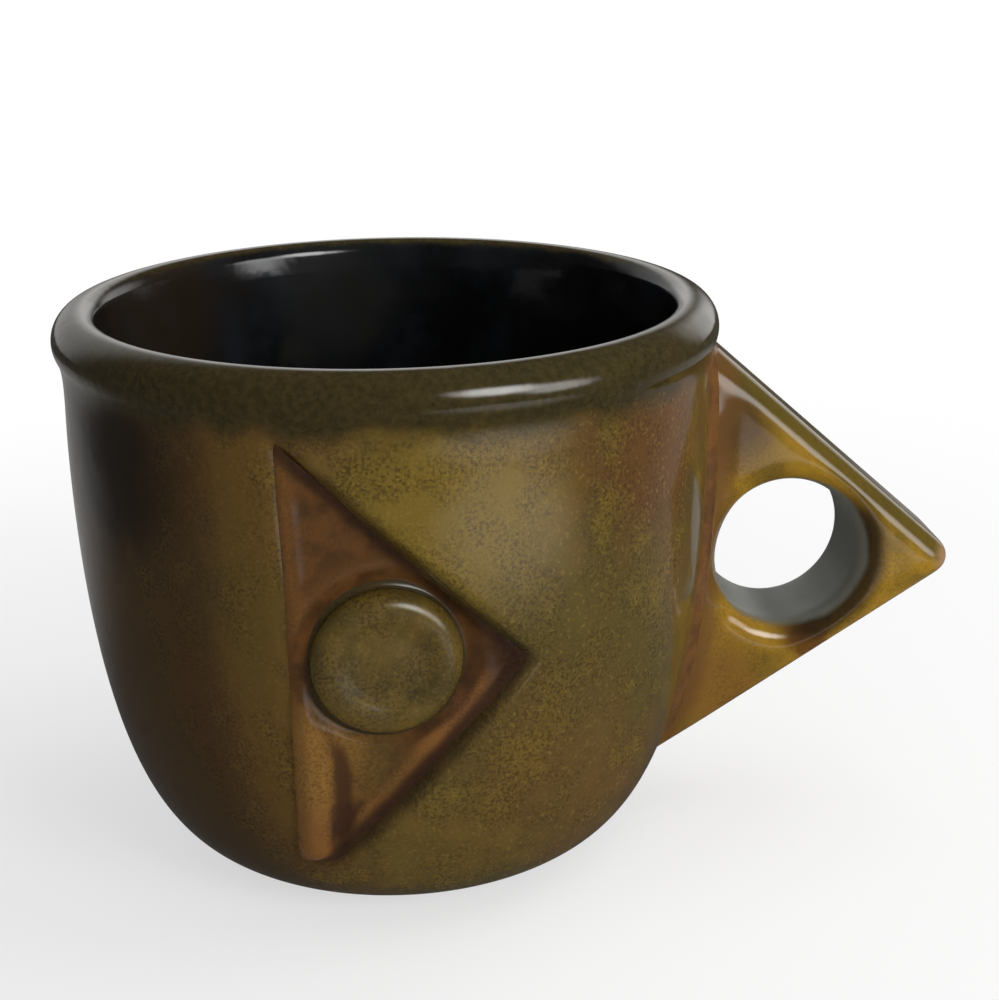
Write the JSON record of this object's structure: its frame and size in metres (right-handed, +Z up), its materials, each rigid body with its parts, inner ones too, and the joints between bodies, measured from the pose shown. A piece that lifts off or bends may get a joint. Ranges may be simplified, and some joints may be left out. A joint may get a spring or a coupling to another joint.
{
  "type": "coffee mug",
  "caption": "Thick round stoneware coffee mug with a rolled rim, a triangular slab handle pierced by a finger hole, and a sunk triangle with a raised disc on its side.",
  "frame": {"origin": "on the table under the middle of the whole mug, handle included", "axes": "+Z up out of the mouth, +X towards the tip of the handle, -Y out of the side with the relief"},
  "size_m": [0.124, 0.09, 0.078],
  "materials": {
    "body_glaze": "glossy mottled olive, gold and brown iron glaze",
    "lining_glaze": "glossy black glaze",
    "bare_clay": "unglazed fired clay",
    "handle_glaze": "glossy mustard gold glaze, rust where it thins",
    "slip": "fired joining slip under thin rust glaze",
    "panel_glaze": "glossy rust brown glaze",
    "disc_glaze": "glossy speckled olive glaze"
  },
  "bodies": {
    "root": {"cup_body": "body_glaze", "inner_lining": "lining_glaze", "foot_ring": "bare_clay", "handle": "handle_glaze", "joining_slip": "slip", "relief_panel": "panel_glaze", "relief_disc": "disc_glaze"}
  },
  "joints": []
}
